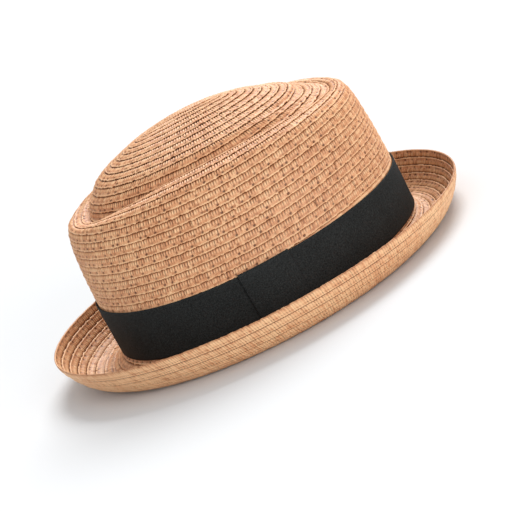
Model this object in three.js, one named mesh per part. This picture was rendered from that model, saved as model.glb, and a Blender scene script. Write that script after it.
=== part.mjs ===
import * as THREE from "three";

// Straw hat with a telescope crown and a rolled brim. Millimetres, +Z up, the front at -Y and
// the wearer's left at +X. The origin is on the resting plane, under the middle of the whole hat.

// Head opening and the thickness of each wall
const headLength = 199;
const headWidth = 164.5;
const strawWall = 1.8;
const rimWall = 2.4;
const ribbonWall = 1;
const fitGap = 0.3;

// Heights above the resting plane
const seamHeight = 11.5;
const footHeight = 8.6;
const shoulderHeight = { front: 96.9, side: 104.6, back: 98.6 };
const ledgeHeight = { front: 96.4, side: 107, back: 99 };
const stepFootHeight = { front: 95, side: 105.5, back: 98.8 };
const tipEdgeHeight = { front: 106.5, side: 112.5, back: 105.2 };
const tipHeight = 127.7;
const rimHeight = { front: 24.2, side: 23, back: 19.1 };

// How far the brim's valley and its rim stand out from the crown's wall
const valleyReach = { front: 15, side: 19, back: 11 };
const rimReach = { front: 42.7, side: 35.9, back: 35.3 };

// Ribbon round the crown and its keeper
const bandFoot = { front: 9.8, side: 9.5, back: 9.4 };
const bandTop = { front: 45, side: 42.4, back: 40.6 };
const keeperWidth = 33.5;
const keeperShift = 1;

// Facets round the hat, and across the keeper
const facetsRound = 60;
const keeperFacets = 6;

// Crown sections from the seam to the middle of the tip. front, side and back are shares of the
// crown's half sizes, and rise is the share of the way from one named height to the next.
const crownSections = [
  { from: "seam", to: "shoulder", rise: 0, front: 1, side: 1, back: 1 },
  { from: "seam", to: "shoulder", rise: 0.45, front: 1.003, side: 0.984, back: 1.006 },
  { from: "seam", to: "shoulder", rise: 0.72, front: 0.989, side: 0.925, back: 0.994 },
  { from: "seam", to: "shoulder", rise: 0.86, front: 0.974, side: 0.873, back: 0.982 },
  { from: "seam", to: "shoulder", rise: 0.95, front: 0.953, side: 0.832, back: 0.962 },
  { from: "seam", to: "shoulder", rise: 0.985, front: 0.938, side: 0.797, back: 0.944 },
  { from: "seam", to: "shoulder", rise: 1, front: 0.914, side: 0.762, back: 0.922 },
  { from: "shoulder", to: "ledge", rise: 0.6, front: 0.885, side: 0.725, back: 0.905 },
  { from: "shoulder", to: "ledge", rise: 1, front: 0.85, side: 0.684, back: 0.885 },
  { from: "ledge", to: "stepFoot", rise: 1, front: 0.792, side: 0.601, back: 0.852 },
  { from: "stepFoot", to: "tipEdge", rise: 0.35, front: 0.774, side: 0.586, back: 0.813 },
  { from: "stepFoot", to: "tipEdge", rise: 0.8, front: 0.75, side: 0.57, back: 0.762 },
  { from: "stepFoot", to: "tipEdge", rise: 1, front: 0.722, side: 0.557, back: 0.712 },
  { from: "tipEdge", to: "tip", rise: 0.24, front: 0.675, side: 0.474, back: 0.665 },
  { from: "tipEdge", to: "tip", rise: 0.43, front: 0.605, side: 0.4, back: 0.56 },
  { from: "tipEdge", to: "tip", rise: 0.64, front: 0.48, side: 0.303, back: 0.455 },
  { from: "tipEdge", to: "tip", rise: 0.82, front: 0.358, side: 0.205, back: 0.325 },
  { from: "tipEdge", to: "tip", rise: 0.95, front: 0.175, side: 0.087, back: 0.165 },
];

// Sections of the brim's underside. reach is the share of the way from one line round the hat
// to the next, and rise the same share of the heights of those two lines.
const brimSections = [
  { from: "collar", to: "foot", reach: 0, rise: 0, wall: strawWall },
  { from: "foot", to: "valley", reach: 0, rise: 0, wall: strawWall },
  { from: "foot", to: "valley", reach: 0.07, rise: 0.2, wall: strawWall },
  { from: "foot", to: "valley", reach: 0.22, rise: 0.46, wall: strawWall },
  { from: "foot", to: "valley", reach: 0.43, rise: 0.74, wall: strawWall },
  { from: "foot", to: "valley", reach: 0.66, rise: 0.94, wall: strawWall },
  { from: "foot", to: "valley", reach: 0.84, rise: 1, wall: strawWall },
  { from: "valley", to: "rim", reach: 0.14, rise: 0, wall: strawWall },
  { from: "valley", to: "rim", reach: 0.34, rise: 0.07, wall: strawWall },
  { from: "valley", to: "rim", reach: 0.54, rise: 0.22, wall: strawWall },
  { from: "valley", to: "rim", reach: 0.72, rise: 0.44, wall: strawWall },
  { from: "valley", to: "rim", reach: 0.86, rise: 0.69, wall: strawWall },
  { from: "valley", to: "rim", reach: 0.95, rise: 0.87, wall: rimWall },
  { from: "valley", to: "rim", reach: 1, rise: 1, wall: rimWall },
];

// Sizes worked out from the ones above
const crownHalfLength = headLength / 2 + strawWall;
const crownHalfWidth = headWidth / 2 + strawWall;
const crownCentre = (rimReach.front - rimReach.back) / 2;

const everywhere = (height) => ({ front: height, side: height, back: height });

const heights = {
  collar: everywhere(seamHeight - fitGap),
  foot: everywhere(footHeight),
  valley: everywhere(0),
  rim: rimHeight,
  seam: everywhere(seamHeight),
  shoulder: shoulderHeight,
  ledge: ledgeHeight,
  stepFoot: stepFootHeight,
  tipEdge: tipEdgeHeight,
  tip: everywhere(tipHeight),
};

// How far each line of the brim's underside stands out from the crown's wall
const reaches = {
  collar: everywhere(-strawWall),
  foot: everywhere(-strawWall),
  valley: valleyReach,
  rim: rimReach,
};

// A value that runs smoothly round the hat from its front, side and back values
function around(angle, values) {
  const lengthways = Math.cos(angle) > 0 ? values.front : values.back;
  return values.side * Math.sin(angle) ** 2 + lengthways * Math.cos(angle) ** 2;
}

const between = (start, end, share) => start + (end - start) * share;

// A point on an oval round the crown's middle, with angle 0 at the front and a quarter turn
// at the wearer's left
function onOval(angle, halves, height) {
  const halfLength = Math.cos(angle) > 0 ? halves.front : halves.back;
  const across = halves.side * Math.sin(angle);
  const along = crownCentre - halfLength * Math.cos(angle);
  return new THREE.Vector3(across, along, height);
}

// The way out from the crown's wall at an angle, level with the resting plane
function outward(angle) {
  const across = crownHalfLength * Math.sin(angle);
  const along = -crownHalfWidth * Math.cos(angle);
  return new THREE.Vector3(across, along, 0).normalize();
}

const anglesRound = Array.from({ length: facetsRound }, (_, step) => (2 * Math.PI * step) / facetsRound);

function crownRing(section) {
  const halves = {
    front: section.front * crownHalfLength,
    side: section.side * crownHalfWidth,
    back: section.back * crownHalfLength,
  };
  return anglesRound.map((angle) => {
    const low = around(angle, heights[section.from]);
    const high = around(angle, heights[section.to]);
    return onOval(angle, halves, between(low, high, section.rise));
  });
}

function brimRing(section) {
  const start = reaches[section.from];
  const end = reaches[section.to];
  const halves = {
    front: crownHalfLength + between(start.front, end.front, section.reach),
    side: crownHalfWidth + between(start.side, end.side, section.reach),
    back: crownHalfLength + between(start.back, end.back, section.reach),
  };
  return anglesRound.map((angle) => {
    const low = around(angle, heights[section.from]);
    const high = around(angle, heights[section.to]);
    return onOval(angle, halves, between(low, high, section.rise));
  });
}

// Rings moved along the surface's own normal by each ring's wall
function offsetRings(rings, walls) {
  const last = rings.length - 1;
  return rings.map((ring, row) =>
    ring.map((point, step) => {
      const lower = rings[Math.max(row - 1, 0)][step];
      const upper = rings[Math.min(row + 1, last)][step];
      const left = ring[(step + facetsRound - 1) % facetsRound];
      const right = ring[(step + 1) % facetsRound];
      const incoming = point.clone().sub(row > 0 ? lower : point).normalize();
      const leaving = upper.clone().sub(row < last ? point : upper).normalize();
      const rowward = incoming.clone().add(leaving);
      const normal = right.clone().sub(left).cross(rowward).normalize();
      const turn = row > 0 && row < last ? incoming.angleTo(leaving) : 0;
      return point.clone().addScaledVector(normal, walls[row] / Math.cos(turn / 2));
    })
  );
}

// Triangles of a grid of rings, each ring joined to the next
function joinRings(triangles, rings, closes) {
  const pairs = closes ? rings.length : rings.length - 1;
  for (let row = 0; row < pairs; row += 1) {
    const lower = rings[row];
    const upper = rings[(row + 1) % rings.length];
    for (let step = 0; step < facetsRound; step += 1) {
      const next = (step + 1) % facetsRound;
      triangles.push([lower[step], lower[next], upper[next]]);
      triangles.push([lower[step], upper[next], upper[step]]);
    }
  }
}

// Triangles from a ring to the one point in its middle
function capRing(triangles, ring, middle, facesUp) {
  for (let step = 0; step < facetsRound; step += 1) {
    const next = (step + 1) % facetsRound;
    const wedge = facesUp ? [ring[step], ring[next], middle] : [ring[next], ring[step], middle];
    triangles.push(wedge);
  }
}

function meshOf(name, triangles, colour, roughness) {
  const geometry = new THREE.BufferGeometry();
  const corners = triangles.flat().flatMap((point) => [point.x, point.y, point.z]);
  geometry.setAttribute("position", new THREE.Float32BufferAttribute(corners, 3));
  geometry.computeVertexNormals();
  const material = new THREE.MeshStandardMaterial({ color: colour, roughness, metalness: 0 });
  const mesh = new THREE.Mesh(geometry, material);
  mesh.name = name;
  return mesh;
}

// Crown: an outer skin of sections, and an inner skin one straw wall inside it
function makeCrown() {
  const outer = crownSections.map(crownRing);
  const inner = offsetRings(outer, outer.map(() => -strawWall));
  const outerMiddle = new THREE.Vector3(0, crownCentre, tipHeight);
  const innerMiddle = new THREE.Vector3(0, crownCentre, tipHeight - strawWall);
  const triangles = [];
  joinRings(triangles, [...inner.slice().reverse(), ...outer], false);
  capRing(triangles, outer[outer.length - 1], outerMiddle, true);
  capRing(triangles, inner[inner.length - 1], innerMiddle, false);
  return meshOf("crown", triangles, 0xc99a6b, 0.75);
}

// Brim: an underside of sections, and an upper side one straw wall above it
function makeBrim() {
  const under = brimSections.map(brimRing);
  const upper = offsetRings(under, brimSections.map((section) => -section.wall));
  const triangles = [];
  joinRings(triangles, [...upper.slice().reverse(), ...under], true);
  return meshOf("brim", triangles, 0xc99a6b, 0.75);
}

// The crown's outer wall at a height, moved out by a distance
function onWall(angle, height, out) {
  const low = around(angle, heights.seam);
  const high = around(angle, heights.shoulder);
  const rise = Math.max((height - low) / (high - low), 0);
  const wall = crownSections.filter((section) => section.to === "shoulder");
  const above = Math.max(wall.findIndex((section) => section.rise > rise), 1);
  const share = (rise - wall[above - 1].rise) / (wall[above].rise - wall[above - 1].rise);
  const halves = {};
  for (const way of ["front", "back"]) {
    halves[way] = crownHalfLength * between(wall[above - 1][way], wall[above][way], share);
  }
  halves.side = crownHalfWidth * between(wall[above - 1].side, wall[above].side, share);
  return onOval(angle, halves, height).addScaledVector(outward(angle), out);
}

// Band: a ribbon that stands one gap off the crown's wall
function makeBand() {
  const levels = [0, 0.5, 1];
  const skin = (out) =>
    levels.map((level) =>
      anglesRound.map((angle) => {
        const height = between(around(angle, bandFoot), around(angle, bandTop), level);
        return onWall(angle, height, out);
      })
    );
  const inside = skin(fitGap);
  const outside = skin(fitGap + ribbonWall);
  const triangles = [];
  joinRings(triangles, [...inside.slice().reverse(), ...outside], true);
  return meshOf("hat_band", triangles, 0x16161a, 0.7);
}

// Keeper: a short flat ribbon over the band at the wearer's left, folded in over its top edge
function makeKeeper() {
  const inside = fitGap + ribbonWall + fitGap;
  const outside = inside + ribbonWall;
  const topRise = fitGap + ribbonWall;
  const stations = Array.from({ length: keeperFacets + 1 }, (_, step) => {
    const along = keeperShift + keeperWidth * (step / keeperFacets - 0.5);
    const angle = Math.acos(-along / crownHalfLength);
    const foot = around(angle, bandFoot);
    const top = around(angle, bandTop);
    return [
      onWall(angle, foot, outside),
      onWall(angle, top + topRise, outside),
      onWall(angle, top + topRise, fitGap),
      onWall(angle, top + fitGap, fitGap),
      onWall(angle, top + fitGap, inside),
      onWall(angle, foot, inside),
    ];
  });
  const triangles = [];
  for (let step = 0; step < keeperFacets; step += 1) {
    const near = stations[step];
    const far = stations[step + 1];
    near.forEach((point, corner) => {
      const next = (corner + 1) % near.length;
      triangles.push([point, far[corner], far[next]]);
      triangles.push([point, far[next], near[next]]);
    });
  }
  const endFaces = [[0, 1, 4], [0, 4, 5], [1, 2, 3], [1, 3, 4]];
  for (const [a, b, c] of endFaces) {
    const first = stations[0];
    const last = stations[keeperFacets];
    triangles.push([first[a], first[b], first[c]]);
    triangles.push([last[a], last[c], last[b]]);
  }
  return meshOf("band_keeper", triangles, 0x16161a, 0.65);
}

const hat = new THREE.Group();
hat.add(makeCrown(), makeBrim(), makeBand(), makeKeeper());

export default hat;
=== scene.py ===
import math
import bpy
import numpy as np
from mathutils import Matrix, Vector


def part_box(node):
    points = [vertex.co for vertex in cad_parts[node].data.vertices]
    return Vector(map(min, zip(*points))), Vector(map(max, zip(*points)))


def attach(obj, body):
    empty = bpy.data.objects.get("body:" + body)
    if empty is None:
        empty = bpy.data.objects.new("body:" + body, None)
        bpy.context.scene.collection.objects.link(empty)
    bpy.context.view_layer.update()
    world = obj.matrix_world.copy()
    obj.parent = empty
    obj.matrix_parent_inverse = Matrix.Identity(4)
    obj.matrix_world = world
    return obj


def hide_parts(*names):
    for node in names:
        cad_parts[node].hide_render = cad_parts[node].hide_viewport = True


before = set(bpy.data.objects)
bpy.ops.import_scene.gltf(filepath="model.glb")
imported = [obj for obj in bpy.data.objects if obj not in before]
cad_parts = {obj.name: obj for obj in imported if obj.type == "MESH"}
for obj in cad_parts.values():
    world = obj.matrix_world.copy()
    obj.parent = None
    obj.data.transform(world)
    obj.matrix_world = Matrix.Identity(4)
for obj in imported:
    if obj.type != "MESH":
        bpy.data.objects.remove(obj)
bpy.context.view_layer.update()        # nodes crown, brim, hat_band and band_keeper, all on one body
mm = 0.001
rng = np.random.default_rng(27)
print("stage: frame loaded")

crownTop = max(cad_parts["crown"].data.vertices, key=lambda corner: corner.co.z)
hatMiddle = Vector((0, crownTop.co.y, 0))


# The cuts through the frame's pieces, which every woven surface follows
cutSettings = {
    "planes": {"front": (0, 1, -1), "side": (1, 0, 1), "back": (0, 1, 1)},   # flat axis, reach axis, sign
    "near": 2e-5,             # how far off the plane a corner may lie, in metres
    "pointsPerSpan": 14,
    "stepsRound": 720,
    "arcStep": 0.25 * mm,
    "brimSteps": 401,
}


# Corners of a node in one upright plane, in order along the cut. The cut starts at the highest
# corner, or at the innermost one, and goes down from there.
def cutOf(node, plane, fromTop):
    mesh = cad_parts[node].data
    flat = np.zeros(len(mesh.vertices) * 3, np.float32)
    mesh.vertices.foreach_get("co", flat)
    corners = np.round(flat.reshape(-1, 3).astype(float), 6)
    points, places = np.unique(corners, axis=0, return_inverse=True)
    ends = np.zeros(len(mesh.edges) * 2, np.int32)
    mesh.edges.foreach_get("vertices", ends)
    edges = places.ravel()[ends].reshape(-1, 2)
    flatAxis, reachAxis, sign = cutSettings["planes"][plane]
    near = cutSettings["near"]
    reach = sign * (points[:, reachAxis] - hatMiddle[reachAxis])
    inPlane = (abs(points[:, flatAxis] - hatMiddle[flatAxis]) < near) & (reach > -near)
    linked = {}
    for a, b in edges[inPlane[edges].all(axis=1)]:
        linked.setdefault(a, set()).add(b)
        linked.setdefault(b, set()).add(a)
    inward = lambda i: (round(reach[i], 4), -points[i, 2])
    upward = lambda i: (-round(points[i, 2], 4), reach[i])
    here = min(linked, key=upward if fromTop else inward)
    path = [here]
    while True:
        ahead = [i for i in linked[here] if i not in path]
        if not ahead:
            break
        here = min(ahead, key=lambda i: points[i, 2])
        path.append(here)
    return np.column_stack([reach[path], points[path, 2]])


# A smooth line through the corners of the three cuts, at the same shares on each
def smoothCuts(cuts, perSpan):
    corners = np.stack(cuts)
    spans = np.linalg.norm(np.diff(corners, axis=1), axis=2).mean(axis=0)
    slopes = np.diff(corners, axis=1) / spans[None, :, None]
    before, after = spans[:-1, None], spans[1:, None]
    inner = (slopes[:, :-1] * after + slopes[:, 1:] * before) / (before + after)
    tangents = np.concatenate([slopes[:, :1], inner, slopes[:, -1:]], axis=1)
    s = (np.arange(perSpan) / perSpan)[None, None, :, None]
    start, end = corners[:, :-1, None], corners[:, 1:, None]
    leave = tangents[:, :-1, None] * spans[None, :, None, None]
    arrive = tangents[:, 1:, None] * spans[None, :, None, None]
    curve = (
        (2 * s**3 - 3 * s**2 + 1) * start + (s**3 - 2 * s**2 + s) * leave
        + (3 * s**2 - 2 * s**3) * end + (s**3 - s**2) * arrive
    )
    return np.concatenate([curve.reshape(3, -1, 2), corners[:, -1:]], axis=1)


# Points on the ovals whose half sizes and heights come from the three cuts
def ovalPoints(angles, cuts):
    front, side, back = cuts
    sine, cosine = np.sin(angles)[:, None], np.cos(angles)[:, None]
    lengthways = np.where(cosine[..., None] > 0, front[None], back[None])
    x = side[None, :, 0] * sine
    y = hatMiddle.y - lengthways[..., 0] * cosine
    z = side[None, :, 1] * sine**2 + lengthways[..., 1] * cosine**2
    return np.stack([x, y, z], axis=-1)


# A surface as a grid: turns round the hat by places along the cut, with its outward normals
def surfaceOf(grid, step, byShare):
    lengths = np.linalg.norm(np.diff(grid, axis=1), axis=2)
    arcs = np.concatenate([np.zeros((len(grid), 1)), lengths.cumsum(axis=1)], axis=1)
    total = arcs[:, -1].min()
    places = np.linspace(0, 1, step) if byShare else np.arange(0, total, step)
    rows = []
    for line, arc in zip(grid, arcs):
        wanted = places * arc[-1] if byShare else places
        rows.append(np.stack([np.interp(wanted, arc, line[:, axis]) for axis in range(3)], axis=-1))
    points = np.stack(rows)
    along = np.gradient(points, axis=1)
    sideways = np.roll(points, -1, axis=0) - np.roll(points, 1, axis=0)
    normals = np.cross(along, sideways)
    size = np.linalg.norm(normals, axis=2, keepdims=True)
    flat = size[..., 0] < 1e-12
    normals = normals / np.maximum(size, 1e-12)
    normals[flat] = (0, 0, 1)
    return {"points": points, "normals": normals, "step": places[1], "end": places[-1]}


# Points and normals of a surface at turns round the hat and places along its cut
def onSurface(surface, turn, place):
    count, rows = surface["points"].shape[:2]
    across = (turn % 1) * count
    down = np.clip(place / surface["step"], 0, rows - 1.001)
    i, j = np.floor(across).astype(int), np.floor(down).astype(int)
    s, r = (across - i)[..., None], (down - j)[..., None]
    i = i % count
    following = (i + 1) % count
    found = []
    for grid in (surface["points"], surface["normals"]):
        here = grid[i, j] * (1 - r) + grid[i, j + 1] * r
        there = grid[following, j] * (1 - r) + grid[following, j + 1] * r
        found.append(here * (1 - s) + there * s)
    return found


# Crown surface: rows of braid run round a short line in the middle of the tip, then down
tipEdgeCorner = 6             # which corner of the crown's cut, from the middle, is the tip's edge
middleLine = 20 * mm          # half the length of the line that the spiral starts round


def crownSurface():
    cuts = [cutOf("crown", plane, True) for plane in ("front", "side", "back")]
    cuts = [cut[: len(cut) // 2] for cut in cuts]
    smooth = smoothCuts(cuts, cutSettings["pointsPerSpan"])
    edge = tipEdgeCorner * cutSettings["pointsPerSpan"]
    front, side, back = smooth
    angles = 2 * math.pi * np.arange(cutSettings["stepsRound"]) / cutSettings["stepsRound"]
    sine, cosine = np.sin(angles)[:, None], np.cos(angles)[:, None]
    width = np.linspace(0, 1, edge)[None, :-1] * side[edge, 0]
    edgeLong = np.where(cosine > 0, front[edge, 0], back[edge, 0])
    edgeHigh = np.where(cosine > 0, front[edge, 1], back[edge, 1])
    x = width * sine
    y = (middleLine + width * (edgeLong - middleLine) / side[edge, 0]) * cosine
    share = np.sqrt((x / side[edge, 0]) ** 2 + (y / edgeLong) ** 2)
    sideways = (x / side[edge, 0]) ** 2 / np.maximum(share, 1e-9) ** 2
    top = side[0, 1]
    rises = []
    for cut in (side, front, back):
        rises.append(np.interp(share, cut[: edge + 1, 0] / cut[edge, 0],
                               (cut[: edge + 1, 1] - cut[edge, 1]) / (top - cut[edge, 1])))
    rise = rises[0] * sideways + np.where(cosine > 0, rises[1], rises[2]) * (1 - sideways)
    low = side[edge, 1] * sideways + edgeHigh * (1 - sideways)
    z = low + (top - low) * rise
    tip = np.stack([x, hatMiddle.y - y, z], axis=-1)
    below = ovalPoints(angles, smooth[:, edge:])
    return surfaceOf(np.concatenate([tip, below], axis=1), cutSettings["arcStep"], False)


def brimSurface():
    cuts = [cutOf("brim", plane, False) for plane in ("front", "side", "back")]
    half = len(cuts[0]) // 2
    middles = [(cut[:half] + cut[half:][::-1]) / 2 for cut in cuts]
    angles = 2 * math.pi * np.arange(cutSettings["stepsRound"]) / cutSettings["stepsRound"]
    grid = ovalPoints(angles, smoothCuts(middles, cutSettings["pointsPerSpan"]))
    return surfaceOf(grid, cutSettings["brimSteps"], True)


def newMesh(name, points, quads, uvs, attributes=None):
    mesh = bpy.data.meshes.new(name)
    mesh.vertices.add(len(points))
    mesh.vertices.foreach_set("co", points.astype(np.float32).ravel())
    mesh.loops.add(quads.size)
    mesh.loops.foreach_set("vertex_index", quads.astype(np.int32).ravel())
    mesh.polygons.add(len(quads))
    mesh.polygons.foreach_set("loop_start", np.arange(0, quads.size, 4, dtype=np.int32))
    mesh.polygons.foreach_set("use_smooth", np.ones(len(quads), bool))
    layer = mesh.uv_layers.new(name="weave")
    layer.data.foreach_set("uv", uvs[quads.ravel()].astype(np.float32).ravel())
    for key, values in (attributes or {}).items():
        mesh.attributes.new(key, "FLOAT", "POINT").data.foreach_set("value", values.astype(np.float32))
    mesh.update(calc_edges=True)
    mesh.validate()
    piece = bpy.data.objects.new(name, mesh)
    bpy.context.scene.collection.objects.link(piece)
    return piece


# Quads of a grid of columns by section points, whose section is a loop. Open ends are capped.
def loopQuads(columns, around, closed):
    first = np.arange(columns if closed else columns - 1)
    second = (first + 1) % columns
    ring = np.arange(around)
    following = (ring + 1) % around
    quads = np.stack([
        first[:, None] * around + ring[None],
        first[:, None] * around + following[None],
        second[:, None] * around + following[None],
        second[:, None] * around + ring[None],
    ], axis=-1).reshape(-1, 4)
    if closed:
        return quads
    caps = []
    for step in range((around - 2) // 2):
        low, high = step, around - 1 - step
        nearEnd = [low, high, high - 1, low + 1]
        caps.append(nearEnd)
        caps.append([(columns - 1) * around + i for i in reversed(nearEnd)])
    return np.concatenate([quads, np.array(caps)])


# Braid. Heights are in millimetres from the middle of its thickness, across is the share of a
# row from the edge tucked under the row before to the edge that lies over the next one.
braidSettings = {
    "pitch": 5.3 * mm,        # width of a row that shows
    "stitch": 1.75 * mm,      # length of a stitch
    "phases": (0.0, 0.34, 0.67),
    "slitHalf": 0.33,         # half a slit, as a share of the stitch
    "stepsPerTurn": 720,      # for measuring its length
    "slant": 0.22,            # lean of the rungs
    "slantMiddle": 0.4,       # share of the row where the lean moves nothing
    "jitter": 0.08,           # uneven spacing of the stitches
    "unevenHeight": 0.08,     # millimetres
    "unevenLimit": 1.5,       # no stitch is more uneven than this many times the usual
    "unevenTone": 0.15,
    "slitShade": (0.3, 1.0),  # painted shade in the slits, from the palest to the darkest
    "darkDip": 0.7,           # millimetres, the depth at which a slit's painted shade is darkest
    "darkHole": 0.4,          # the same for the painted shade in a hole
    "holeEvery": 4,
    "holeHalf": 0.42,         # half a hole, as a share of the stitch
    "holeReach": 1.5,         # above 1, so that a hole has a flat floor
    "holeSizes": (0.2, 1.0),  # from the shallowest to the deepest
    "cordWave": 0.03,         # share of the row
    "parts": (0.58, 0.82),    # where the rungs end and where the cord begins
    # The first rows' tucked edges, raised where they meet on the tip's middle line, with little painted shade
    "meeting": {"across": 0.1, "rung": -0.4, "height": 0.45, "shade": 0.1},
    # In each table, dark is painted shade at the row edges, and tone is lowest where dark is highest, which
    # paints shade there too.
    "outside": [
        {"across": -0.13, "rung": -0.35, "slit": -0.35, "hole": 0, "tone": 0.1, "dark": 1},
        {"across": 0.04, "rung": -0.05, "slit": -0.3, "hole": 0, "tone": 0.2, "dark": 0.9},
        {"across": 0.12, "rung": 0.42, "slit": -0.25, "hole": 0, "tone": 0.55, "dark": 0.2},
        {"across": 0.32, "rung": 0.64, "slit": -0.35, "hole": 0, "tone": 0.8, "dark": 0},
        {"across": 0.5, "rung": 0.62, "slit": 0.15, "hole": 0, "tone": 0.6, "dark": 0},
        {"across": 0.65, "rung": 0.44, "slit": 0.5, "hole": 0.6, "tone": 0.45, "dark": 0.12},
        {"across": 0.77, "rung": 0.52, "slit": 0.36, "hole": 0.4, "tone": 0.5, "dark": 0.12},
        {"across": 0.88, "rung": 0.9, "slit": 0.74, "hole": 0, "tone": 0.95, "dark": 0},
        {"across": 0.985, "rung": 0.7, "slit": 0.5, "hole": 0, "tone": 0.7, "dark": 0.15},
    ],
    "inside": [
        {"across": 1.0, "rung": 0.1, "slit": 0.1, "hole": 0, "tone": 0.3, "dark": 0.7},
        {"across": 0.5, "rung": -0.5, "slit": -0.4, "hole": 0, "tone": 0.5, "dark": 0},
        {"across": 0.06, "rung": -0.88, "slit": -0.8, "hole": 0, "tone": 0.6, "dark": 0},
    ],
    "underside": [
        {"across": 1.0, "rung": 0.15, "slit": 0.1, "hole": 0, "tone": 0.4, "dark": 0.4},
        {"across": 0.78, "rung": -0.44, "slit": 0.06, "hole": 0, "tone": 0.75, "dark": 0},
        {"across": 0.42, "rung": -0.66, "slit": -0.46, "hole": 0, "tone": 0.9, "dark": 0},
        {"across": 0.2, "rung": -0.42, "slit": 0.06, "hole": 0, "tone": 0.65, "dark": 0.05},
        {"across": 0.06, "rung": -0.92, "slit": -0.7, "hole": 0, "tone": 1.0, "dark": 0},
    ],
}


# Columns of one length of braid: its turns round the hat, and how many stitches it is along
def braidColumns(surface, firstTurn, lastTurn, placeOf, phases, closed, way):
    fine = np.arange(firstTurn, lastTurn + 1e-9, 1 / braidSettings["stepsPerTurn"])
    centre = onSurface(surface, way * fine, placeOf(fine))[0]
    run = np.concatenate([[0], np.linalg.norm(np.diff(centre, axis=0), axis=1).cumsum()])
    count = round(run[-1] / braidSettings["stitch"])
    stitches = (np.arange(count)[:, None] + np.array(phases)[None]).ravel()
    if not closed:
        stitches = np.append(stitches, count)
    turns = np.interp(stitches * run[-1] / count, run, fine)
    perStitch = np.interp(turns, fine[1:], np.diff(fine) / np.maximum(np.diff(run), 1e-9)) * run[-1] / count
    return turns, stitches, perStitch, count


# One length of braid: its grid of points, its weave coordinates, its painted shade and its tone
def braidLength(surface, length, section, lift, phases, way, edgeShade):
    firstTurn, lastTurn, startOf, endOf, rowOf, closed = length
    middle = lambda turn: (startOf(turn) + endOf(turn)) / 2
    turns, stitches, perStitch, count = braidColumns(
        surface, firstTurn, lastTurn, middle, phases, closed, way)
    number = np.round(stitches).astype(int) % count
    phase = stitches - np.round(stitches)
    opening = np.clip(1 - abs(phase) / braidSettings["slitHalf"], 0, 1)[:, None]
    nearHole = np.clip(braidSettings["holeReach"] - abs(phase) / braidSettings["holeHalf"], 0, 1)
    holed = np.arange(0, count, braidSettings["holeEvery"])
    holed = (holed + rng.integers(-1, 2, len(holed))) % count
    holeSize = np.zeros(count)
    holeSize[holed] = rng.uniform(*braidSettings["holeSizes"], len(holed))
    holes = (nearHole * holeSize[number])[:, None]
    across = section["across"][None]
    part = np.digitize(section["across"], braidSettings["parts"])
    limit = braidSettings["unevenLimit"]
    uneven = np.clip(rng.normal(size=(count, 3)), -limit, limit)[number][:, part]
    light = rng.normal(size=(count, 3))[number][:, part]
    palest, darkest = braidSettings["slitShade"]
    slitShade = rng.uniform(palest, darkest, count)[number][:, None]
    shifted = turns + rng.normal(size=count)[number] * braidSettings["jitter"] * perStitch
    start, end = startOf(turns)[:, None], endOf(turns)[:, None]
    fromMiddle = across - braidSettings["slantMiddle"]
    lean = braidSettings["slant"] * fromMiddle * braidSettings["pitch"] / braidSettings["stitch"]
    turn = way * (shifted[:, None] + lean * perStitch[:, None])
    dip = opening * (section["slit"] - section["rung"])[None]
    hole = holes * section["hole"][None]
    height = section["rung"][None] + dip - hole + uneven * braidSettings["unevenHeight"] * (1 - opening)
    meet = braidSettings["meeting"]
    tucked = (across < meet["across"]) & (section["rung"] > meet["rung"])[None]
    meeting = (start <= 0) & tucked & (start < end) & (not closed)
    height = np.where(meeting, meet["height"], height)
    wave = braidSettings["cordWave"] * (light + 2 * opening - 1) * (across > braidSettings["parts"][1])
    place = np.maximum(start + (end - start) * (across + wave), 0)
    base, normal = onSurface(surface, turn, place)
    points = base + normal * ((height + lift) * mm)[..., None]
    weave = np.stack([np.broadcast_to(stitches[:, None], place.shape),
                      np.floor(rowOf(turns))[:, None] + across], axis=-1)
    # Painted shade: darker by the depth of each slit and hole, and at the row edges by the dark column times
    # edgeShade
    slitAndHoleShade = np.clip(abs(dip) / braidSettings["darkDip"], 0, 1) * slitShade
    slitAndHoleShade = slitAndHoleShade + np.clip(hole / braidSettings["darkHole"], 0, 1)
    shade = np.clip(section["dark"][None] * edgeShade + slitAndHoleShade, 0, 1)
    shade = np.where(meeting, meet["shade"], shade)
    # The tables' tone, with its painted shade at the row edges, plus random tone for each stitch and part
    tone = np.clip(section["tone"][None] + braidSettings["unevenTone"] * light, 0, 1)
    return points, weave, shade, tone


def layBraid(name, surface, lengths, under, lift, phases, way, edgeShade):
    rows = braidSettings["outside"] + braidSettings[under]
    section = {key: np.array([row[key] for row in rows]) for key in rows[0]}
    points, quads, uvs, shades, tones = [], [], [], [], []
    offset = 0
    for length in lengths:
        grid, weave, shade, tone = braidLength(surface, length, section, lift, phases, way, edgeShade)
        columns = len(grid)
        corners = loopQuads(columns, len(rows), length[-1])
        quads.append((corners if way > 0 else corners[:, ::-1]) + offset)
        points.append(grid.reshape(-1, 3))
        uvs.append(weave.reshape(-1, 2))
        shades.append(shade.ravel())
        tones.append(tone.ravel())
        offset += columns * len(rows)
    # shade holds painted shade in slits, holes and at row edges; tone holds the straw's tone with painted
    # shade at the row edges
    piece = newMesh(name, np.concatenate(points), np.concatenate(quads), np.concatenate(uvs),
                    {"shade": np.concatenate(shades), "tone": np.concatenate(tones)})
    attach(piece, "root")
    print("stage:", name, sum(len(p.vertices) - 2 for p in piece.data.polygons), "triangles")
    return piece


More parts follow.
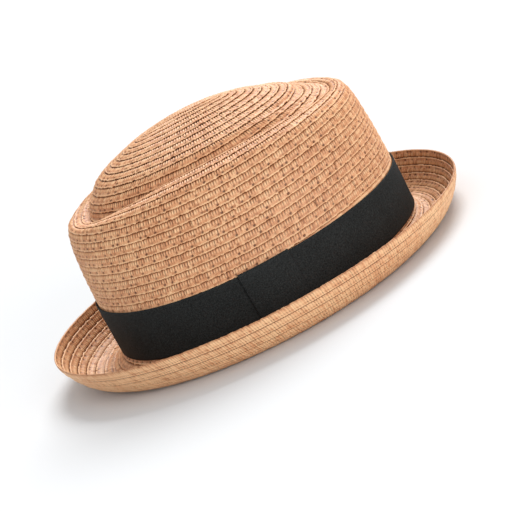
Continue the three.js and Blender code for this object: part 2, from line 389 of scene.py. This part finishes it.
# Crown: one spiral of braid from the middle of the tip to the seam. Its lengths end at the back,
# apart from crown_wall_lower, which ends at the front.
crownSettings = {
    "lift": -0.9,             # the frame's skin is the outside of the braid, in millimetres
    "way": -1,                # which way the spiral turns
    "phase": -0.45,           # rows, moves every row up or down
    "start": -0.53,           # turns
    "lengths": [              # where each length of the spiral ends, and how strong the painted shade at its row edges is
        {"name": "crown_tip", "end": 9.5, "edgeShade": 1},
        {"name": "crown_ledge", "end": 13.5, "edgeShade": 0.8},
        {"name": "crown_wall_upper", "end": 19.5, "edgeShade": 0.4},
        {"name": "crown_wall_lower", "end": 26.0, "edgeShade": 0.4},
    ],
    # The foot, unwoven. It is behind the band, apart from a strip that shows above it at the front.
    "foot": {"name": "crown_foot", "edgeShade": 0.4, "phases": (0.5,)},
    "stop": 0.03,             # turns left out at the seam
}


def makeCrown():
    surface = crownSurface()
    pitch = braidSettings["pitch"]
    phase = crownSettings["phase"]
    lastTurn = surface["end"] / pitch - phase - crownSettings["stop"]
    startOf = lambda turn: np.maximum(turn + phase, 0) * pitch
    endOf = lambda turn: (turn + phase + 1) * pitch
    pieces = []
    begin = crownSettings["start"]
    for row in [*crownSettings["lengths"], {**crownSettings["foot"], "end": lastTurn}]:
        name, end = row["name"], row["end"]
        phases = row.get("phases", braidSettings["phases"])
        length = (begin, end, startOf, endOf, lambda turn: turn + 1, False)
        piece = layBraid(name, surface, [length], "inside", crownSettings["lift"], phases,
                         crownSettings["way"], row["edgeShade"])
        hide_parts("crown")
        pieces.append(piece)
        begin = end
    return pieces


# Brim: level rows of braid from the crown's seam to the rim
brimSettings = {
    "way": -1,
    # strength of the painted shade at the row edges
    "edgeShade": 0.8,
    "lift": 0.4,              # millimetres, so that no stitch dips into the floor
    "rows": 10,
    "innerRows": 5,
}


def makeBrim():
    surface = brimSurface()
    rows = brimSettings["rows"]
    pieces = []
    for name, span in (("brim_valley", range(0, brimSettings["innerRows"])),
                       ("brim_rim", range(brimSettings["innerRows"], rows))):
        lengths = []
        for row in span:
            startOf = lambda turn, row=row: np.full(np.shape(turn), row / rows)
            endOf = lambda turn, row=row: np.full(np.shape(turn), (row + 1) / rows)
            rowOf = lambda turn, row=row: np.full(np.shape(turn), row)
            lengths.append((0.5, 1.5, startOf, endOf, rowOf, True))
        piece = layBraid(name, surface, lengths, "underside", brimSettings["lift"],
                         braidSettings["phases"], brimSettings["way"], brimSettings["edgeShade"])
        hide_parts("brim")
        pieces.append(piece)
    return pieces


# Band: ribbed ribbon round the foot of the crown. Heights and outs are in millimetres.
bandSettings = {
    "rib": 0.62 * mm,
    "ribHeight": 0.05,
    "waves": [
        {"height": 0.12, "count": 3, "start": 0.4},
        {"height": 0.08, "count": 7, "start": 1.1},
    ],
    "innerLevels": (0.99, 0.5, 0.01),
    "innerOut": -0.9,
    "levels": [
        {"level": 0, "out": -0.3},
        {"level": 0.012, "out": 0},
        {"level": 0.05, "out": 0.02},
        {"level": 0.07, "out": -0.05},
        {"level": 0.3, "out": -0.02},
        {"level": 0.5, "out": 0},
        {"level": 0.7, "out": -0.02},
        {"level": 0.93, "out": -0.05},
        {"level": 0.95, "out": 0.02},
        {"level": 0.988, "out": 0},
        {"level": 1, "out": -0.3},
    ],
}


# The band's outer skin at an angle and a level, moved out in metres
def onBand(angle, level, out):
    outer = []
    for plane in ("front", "side", "back"):
        cut = bandCuts[plane]
        outer.append(cut[len(cut) // 2:])
    front, side, back = outer
    shares = np.linspace(0, 1, len(side))
    sine, cosine = np.sin(angle), np.cos(angle)
    value = lambda cut, column: np.interp(level, shares, cut[:, column])
    halfLong = np.where(cosine > 0, value(front, 0), value(back, 0))
    high = np.where(cosine > 0, value(front, 1), value(back, 1))
    halfWide = value(side, 0)
    x = halfWide * sine
    y = hatMiddle.y - halfLong * cosine
    z = value(side, 1) * sine**2 + high * cosine**2
    away = np.stack([halfLong * sine, -halfWide * cosine], axis=-1)
    away = away / np.linalg.norm(away, axis=-1, keepdims=True)
    return np.stack([x + away[..., 0] * out, y + away[..., 1] * out, z], axis=-1)


bandCuts = {plane: cutOf("hat_band", plane, True) for plane in ("front", "side", "back")}


# The ribs' height above and below the middle, column by column, in millimetres
def ribsOf(columns):
    return np.where(np.arange(columns) % 2 == 0, 1, -1) * bandSettings["ribHeight"] / 2


# A ribbon's mesh from its grid of points, with its ribs and levels as weave coordinates
def newRibbon(name, points, levels, closed):
    columns, around = points.shape[:2]
    uvs = np.stack([np.broadcast_to((np.arange(columns) / 2)[:, None], (columns, around)),
                    np.broadcast_to(levels[None], (columns, around))], axis=-1)
    quads = loopQuads(columns, around, closed)[:, ::-1]
    piece = newMesh(name, points.reshape(-1, 3), quads, uvs.reshape(-1, 2))
    print("stage:", name, len(quads) * 2, "triangles")
    return piece


def makeBand():
    around = np.linspace(0, 2 * math.pi, cutSettings["stepsRound"] + 1)
    middle = onBand(around, np.full(len(around), 0.5), 0)
    run = np.linalg.norm(np.diff(middle, axis=0), axis=1).sum()
    columns = round(run / bandSettings["rib"]) * 2
    angles = 2 * math.pi * np.arange(columns) / columns
    wave = sum(row["height"] * np.sin(row["count"] * angles + row["start"]) for row in bandSettings["waves"])
    levels = np.array([row["level"] for row in bandSettings["levels"]])
    outs = np.array([row["out"] for row in bandSettings["levels"]])
    innerLevels = np.array(bandSettings["innerLevels"])
    gridOf = lambda heights, out: onBand(
        np.broadcast_to(angles[:, None], (columns, len(heights))),
        np.broadcast_to(heights[None], (columns, len(heights))), out * mm)
    swell = wave[:, None] * (levels * (1 - levels))[None]
    outer = gridOf(levels, outs[None] + ribsOf(columns)[:, None] + swell)
    inner = gridOf(innerLevels, bandSettings["innerOut"])
    piece = newRibbon("band_ribbon", np.concatenate([outer, inner], axis=1),
                      np.concatenate([levels, innerLevels]), True)
    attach(piece, "root")
    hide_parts("hat_band")
    return piece


# Keeper: a flat fold of the same ribbon over the band's join
keeperSettings = {
    "gap": 0.3 * mm,
    "innerGap": 0.15 * mm,
    "thick": 1.0 * mm,
    "edgeThick": 0.2,         # share of the thickness that is left at its sides
    "edgeRound": 0.9 * mm,
    "swell": 0.35 * mm,
    "edgeSwell": 0.4,         # share of the swell that is left at its sides
    "lean": 1.5 * mm,
    "outerLevels": (0.0, 0.02, 0.2, 0.4, 0.6, 0.8, 0.96, 1.0),
    "innerLevels": (0.99, 0.5, 0.0),
    "topRise": 0.91 * mm,
    "fold": [                 # the top edge, turned in over the band, in millimetres
        {"in": 0.3, "up": 0},
        {"in": 1.2, "up": 0.2},
        {"in": 2.1, "up": -0.3},
    ],
}


def makeKeeper():
    low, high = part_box("band_keeper")
    width = high.y - low.y
    columns = round(width / bandSettings["rib"]) * 2 + 1
    shares = np.linspace(0, 1, columns)
    edge = np.minimum(shares, 1 - shares) * width / keeperSettings["edgeRound"]
    rounded = np.sqrt(np.clip(1 - (1 - np.clip(edge, 0, 1)) ** 2, 0, 1))
    atEdge = lambda name: keeperSettings[name] + (1 - keeperSettings[name]) * rounded
    swell = keeperSettings["swell"] * np.sin(math.pi * shares) ** 0.5 * atEdge("edgeSwell")
    thick = keeperSettings["thick"] * atEdge("edgeThick")
    outs = keeperSettings["gap"] + thick + swell + ribsOf(columns) * mm
    halfLong = float(bandCuts["back"][-1, 0])

    def pointAt(share, level, out):
        y = low.y + share * width - hatMiddle.y + keeperSettings["lean"] * (0.5 - level)
        y = min(max(y, low.y - hatMiddle.y), high.y - hatMiddle.y)
        return onBand(np.array(math.acos(-y / halfLong)), np.array(level), out)

    sections = []
    for share, out in zip(shares, outs):
        section = [pointAt(share, level, out) for level in keeperSettings["outerLevels"]]
        lip = section.pop() + np.array([0, 0, keeperSettings["topRise"]])
        section += [lip + np.array([-row["in"], 0, row["up"]]) * mm for row in keeperSettings["fold"]]
        section += [pointAt(share, level, keeperSettings["innerGap"])
                    for level in keeperSettings["innerLevels"]]
        sections.append(section)
    points = np.array(sections)
    piece = newRibbon("keeper_ribbon", points, np.linspace(0, 1, points.shape[1]), False)
    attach(piece, "root")
    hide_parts("band_keeper")
    return piece


# Shader node groups that straw and ribbon share
def newGroup(name, inputs, outputs):
    group = bpy.data.node_groups.new(name, "ShaderNodeTree")
    for label, kind, value in inputs:
        socket = group.interface.new_socket(label, in_out="INPUT", socket_type=kind)
        if value is not None:
            socket.default_value = value
    for label, kind in outputs:
        group.interface.new_socket(label, in_out="OUTPUT", socket_type=kind)
    return group, group.nodes.new("NodeGroupInput"), group.nodes.new("NodeGroupOutput")


def addNode(tree, kind, inputs=None, **settings):
    node = tree.nodes.new(kind)
    for key, value in settings.items():
        setattr(node, key, value)
    for key, value in (inputs or {}).items():
        if isinstance(value, bpy.types.NodeSocket):
            tree.links.new(value, node.inputs[key])
        else:
            node.inputs[key].default_value = value
    return node


# The output of a math node that holds these values and sockets
def mathNode(tree, operation, *values):
    return addNode(tree, "ShaderNodeMath", dict(enumerate(values)), operation=operation).outputs[0]


# Fine fibres and specks, from 0 to 1
def fibreGroup():
    group, given, made = newGroup("fibreGrain", [
        ("Vector", "NodeSocketVector", None),
        ("Scale", "NodeSocketFloat", 1200.0),
        ("Contrast", "NodeSocketFloat", 1.0),
    ], [("Value", "NodeSocketFloat")])
    noise = addNode(group, "ShaderNodeTexNoise", {
        "Vector": given.outputs["Vector"], "Scale": given.outputs["Scale"], "Detail": 3.0,
    })
    centred = mathNode(group, "SUBTRACT", noise.outputs["Fac"], 0.5)
    scaled = mathNode(group, "MULTIPLY_ADD", centred, given.outputs["Contrast"], 0.5)
    group.links.new(scaled, made.inputs["Value"])
    return group


# Slow drift of tone over the whole hat, from 0 to 1
def driftGroup():
    group, given, made = newGroup("toneDrift", [
        ("Vector", "NodeSocketVector", None),
        ("Scale", "NodeSocketFloat", 30.0),
        ("Low", "NodeSocketFloat", 0.35),
        ("High", "NodeSocketFloat", 0.65),
    ], [("Value", "NodeSocketFloat")])
    noise = addNode(group, "ShaderNodeTexNoise", {
        "Vector": given.outputs["Vector"], "Scale": given.outputs["Scale"], "Detail": 2.0,
    })
    spread = addNode(group, "ShaderNodeMapRange", {
        "Value": noise.outputs["Fac"], "From Min": given.outputs["Low"], "From Max": given.outputs["High"],
    })
    group.links.new(spread.outputs[0], made.inputs["Value"])
    return group


# Twisted paper yarn along each stitch, from the weave coordinates
def twistGroup():
    group, given, made = newGroup("yarnTwist", [
        ("Weave", "NodeSocketVector", None),
        ("Strands", "NodeSocketFloat", 3.0),
        ("Lean", "NodeSocketFloat", 4.0),
    ], [("Height", "NodeSocketFloat")])
    parts = addNode(group, "ShaderNodeSeparateXYZ", {0: given.outputs["Weave"]})
    along = mathNode(group, "MULTIPLY", parts.outputs["X"], given.outputs["Strands"])
    across = mathNode(group, "MULTIPLY_ADD", parts.outputs["Y"], given.outputs["Lean"], along)
    wave = mathNode(group, "SINE", mathNode(group, "MULTIPLY", across, 2 * math.pi))
    group.links.new(mathNode(group, "MULTIPLY_ADD", wave, 0.5, 0.5), made.inputs["Height"])
    return group


def placeGroup(tree, group, inputs):
    return addNode(tree, "ShaderNodeGroup", inputs, node_tree=group)


def newMaterial(name):
    material = bpy.data.materials.new(name)
    material.use_nodes = True
    tree = material.node_tree
    return material, tree, tree.nodes["Principled BSDF"]


strawSettings = {
    # dark is the colour of the painted shade; mid, warm and light are the straw's tones
    "dark": (0.13, 0.04, 0.01, 1),
    "mid": (0.48, 0.19, 0.076, 1),
    "warm": (0.72, 0.34, 0.16, 1),
    "light": (0.92, 0.56, 0.3, 1),
    "midAt": 0.2,             # the tones that have these colours
    "warmAt": 0.55,
    "grain": {"Scale": 1500.0, "Contrast": 1.2},
    "drift": {"Scale": 28.0},
    "twist": {"Strands": 2.0, "Lean": 5.0},
    "grainTone": 0.25,
    "driftTone": 0.12,
    "toneDrop": 0.18,
    "roughness": 0.38,
    "grainRoughness": 0.2,
    "twistHeight": 0.6,
    "bump": {"Strength": 0.5, "Distance": 0.12 * mm},
    "specular": 0.55,
}


def strawMaterial(name):
    material, tree, shader = newMaterial(name)
    place = addNode(tree, "ShaderNodeTexCoord").outputs["Object"]
    weave = addNode(tree, "ShaderNodeUVMap", uv_map="weave").outputs["UV"]
    shade = addNode(tree, "ShaderNodeAttribute", attribute_name="shade").outputs["Fac"]
    tone = addNode(tree, "ShaderNodeAttribute", attribute_name="tone").outputs["Fac"]
    grain = placeGroup(tree, fibre, {"Vector": place, **strawSettings["grain"]}).outputs[0]
    slow = placeGroup(tree, drift, {"Vector": place, **strawSettings["drift"]}).outputs[0]
    twisted = placeGroup(tree, twist, {"Weave": weave, **strawSettings["twist"]}).outputs[0]
    # tone, with its painted shade at the row edges, picks the straw colour from the ramp
    speck = mathNode(tree, "MULTIPLY_ADD", grain, strawSettings["grainTone"], tone)
    drifted = mathNode(tree, "MULTIPLY_ADD", slow, strawSettings["driftTone"], speck)
    centred = mathNode(tree, "SUBTRACT", drifted, strawSettings["toneDrop"])
    ramp = addNode(tree, "ShaderNodeValToRGB", {"Fac": centred})
    ramp.color_ramp.elements[0].color = strawSettings["mid"]
    ramp.color_ramp.elements[0].position = strawSettings["midAt"]
    ramp.color_ramp.elements[1].color = strawSettings["light"]
    ramp.color_ramp.elements.new(strawSettings["warmAt"]).color = strawSettings["warm"]
    # The shade attribute mixes in the dark colour: painted shade in slits, holes and at row edges
    colour = addNode(tree, "ShaderNodeMix", data_type="RGBA")
    tree.links.new(shade, colour.inputs["Factor"])
    tree.links.new(ramp.outputs["Color"], colour.inputs[6])
    colour.inputs[7].default_value = strawSettings["dark"]
    tree.links.new(colour.outputs[2], shader.inputs["Base Color"])
    rough = mathNode(tree, "MULTIPLY_ADD", grain, strawSettings["grainRoughness"], strawSettings["roughness"])
    tree.links.new(rough, shader.inputs["Roughness"])
    height = mathNode(tree, "MULTIPLY_ADD", twisted, strawSettings["twistHeight"], grain)
    bump = addNode(tree, "ShaderNodeBump", {"Height": height, **strawSettings["bump"]})
    tree.links.new(bump.outputs[0], shader.inputs["Normal"])
    shader.inputs["Specular IOR Level"].default_value = strawSettings["specular"]
    return material


ribbonSettings = {
    "dark": (0.004, 0.0045, 0.0045, 1),
    "light": (0.055, 0.06, 0.06, 1),
    "grain": {"Scale": 1300.0, "Contrast": 2.2},
    "drift": {"Scale": 40.0},
    "twill": {"Strands": 1.0, "Lean": 60.0},
    "driftTone": 0.07,
    "twillHeight": 0.7,
    "bump": {"Strength": 0.4, "Distance": 0.08 * mm},
    "roughness": 0.7,
    "specular": 0.12,
}


def ribbonMaterial(name):
    material, tree, shader = newMaterial(name)
    place = addNode(tree, "ShaderNodeTexCoord").outputs["Object"]
    weave = addNode(tree, "ShaderNodeUVMap", uv_map="weave").outputs["UV"]
    grain = placeGroup(tree, fibre, {"Vector": place, **ribbonSettings["grain"]}).outputs[0]
    slow = placeGroup(tree, drift, {"Vector": place, **ribbonSettings["drift"]}).outputs[0]
    twill = placeGroup(tree, twist, {"Weave": weave, **ribbonSettings["twill"]}).outputs[0]
    mask = mathNode(tree, "MULTIPLY", grain, twill)
    colour = addNode(tree, "ShaderNodeMix", data_type="RGBA")
    tint = mathNode(tree, "MULTIPLY_ADD", slow, ribbonSettings["driftTone"], mask)
    tree.links.new(tint, colour.inputs["Factor"])
    colour.inputs[6].default_value = ribbonSettings["dark"]
    colour.inputs[7].default_value = ribbonSettings["light"]
    tree.links.new(colour.outputs[2], shader.inputs["Base Color"])
    height = mathNode(tree, "MULTIPLY_ADD", twill, ribbonSettings["twillHeight"], grain)
    bump = addNode(tree, "ShaderNodeBump", {"Height": height, **ribbonSettings["bump"]})
    tree.links.new(bump.outputs[0], shader.inputs["Normal"])
    shader.inputs["Roughness"].default_value = ribbonSettings["roughness"]
    shader.inputs["Specular IOR Level"].default_value = ribbonSettings["specular"]
    return material


fibre, drift, twist = fibreGroup(), driftGroup(), twistGroup()
crownPieces = makeCrown()
brimPieces = makeBrim()
band = makeBand()
keeper = makeKeeper()
straw = strawMaterial("straw")
ribbon = ribbonMaterial("ribbon")
for piece in [*crownPieces, *brimPieces]:
    piece.data.materials.append(straw)
for piece in (band, keeper):
    piece.data.materials.append(ribbon)
print("stage: materials placed")


# Camera at the photo's angle, rolled as the photo is
cameraSettings = {
    "elevation": 16.76,       # degrees
    "turn": 0.05,
    "lean": -1.12,
    "roll": 27,
    "distance": 1820.07 * mm,
    "aim": (0, 12.42 * mm, 55 * mm),
    "asideAim": 9.08 * mm,
    "aboveAim": 30.39 * mm,
    "pixelsPerMetre": 1614.6,   # at the aim, in a photo of 512 pixels
    "photoWidth": 512,
    "sensor": 36,
}


def makeCamera():
    names = ("elevation", "turn", "lean", "roll")
    elevation, turn, lean, roll = (math.radians(cameraSettings[name]) for name in names)
    flat = math.cos(elevation)
    back = Vector((flat * math.cos(turn), flat * math.sin(turn), math.sin(elevation)))
    level = Vector((0, 0, 1)).cross(back).normalized()
    rise = back.cross(level)
    right = level * math.cos(lean) + rise * math.sin(lean)
    up = rise * math.cos(lean) - level * math.sin(lean)
    spot = Vector(cameraSettings["aim"]) + back * cameraSettings["distance"]
    spot -= right * cameraSettings["asideAim"] + up * cameraSettings["aboveAim"]
    cameraRight = right * math.cos(roll) - up * math.sin(roll)
    cameraUp = right * math.sin(roll) + up * math.cos(roll)
    data = bpy.data.cameras.new("camera")
    data.sensor_width = cameraSettings["sensor"]
    focal = cameraSettings["pixelsPerMetre"] * cameraSettings["distance"]
    data.lens = focal / cameraSettings["photoWidth"] * cameraSettings["sensor"]
    camera = bpy.data.objects.new("camera", data)
    bpy.context.scene.collection.objects.link(camera)
    camera.matrix_world = Matrix((
        (cameraRight.x, cameraUp.x, back.x, spot.x),
        (cameraRight.y, cameraUp.y, back.y, spot.y),
        (cameraRight.z, cameraUp.z, back.z, spot.z),
        (0, 0, 0, 1),
    ))
    bpy.context.scene.camera = camera


floorSettings = {
    "reach": 12,              # metres from the hat to each side
    "colour": (0.72, 0.735, 0.75, 1),
    "roughness": 0.8,
}


def makeFloor():
    reach = floorSettings["reach"]
    corners = [(-reach, -reach, 0), (reach, -reach, 0), (reach, reach, 0), (-reach, reach, 0)]
    mesh = bpy.data.meshes.new("floor")
    mesh.from_pydata(corners, [], [(0, 1, 2, 3)])
    floor = bpy.data.objects.new("floor", mesh)
    bpy.context.scene.collection.objects.link(floor)
    material, _, shader = newMaterial("paleFloor")
    shader.inputs["Base Color"].default_value = floorSettings["colour"]
    shader.inputs["Roughness"].default_value = floorSettings["roughness"]
    mesh.materials.append(material)


# Two broad suns, with spreads in degrees, and an even white world
lights = {
    "top": {"from": (-0.95, 0.6, 1.15), "spread": 32, "strength": 2.7},
    "side": {"from": (1.7, 1.0, 0.4), "spread": 40, "strength": 1.5},
}
worldLight = 0.68


def makeLights():
    for name, light in lights.items():
        data = bpy.data.lights.new(name, "SUN")
        data.energy = light["strength"]
        data.angle = math.radians(light["spread"])
        lamp = bpy.data.objects.new(name, data)
        lamp.rotation_euler = (-Vector(light["from"])).to_track_quat("-Z", "Y").to_euler()
        bpy.context.scene.collection.objects.link(lamp)
    world = bpy.data.worlds.new("studio")
    world.use_nodes = True
    background = world.node_tree.nodes["Background"]
    background.inputs["Color"].default_value = (1, 1, 1, 1)
    background.inputs["Strength"].default_value = worldLight
    bpy.context.scene.world = world


bpy.context.scene.view_settings.view_transform = "Standard"
makeCamera()
makeFloor()
makeLights()
print("stage: camera, floor and lights placed")
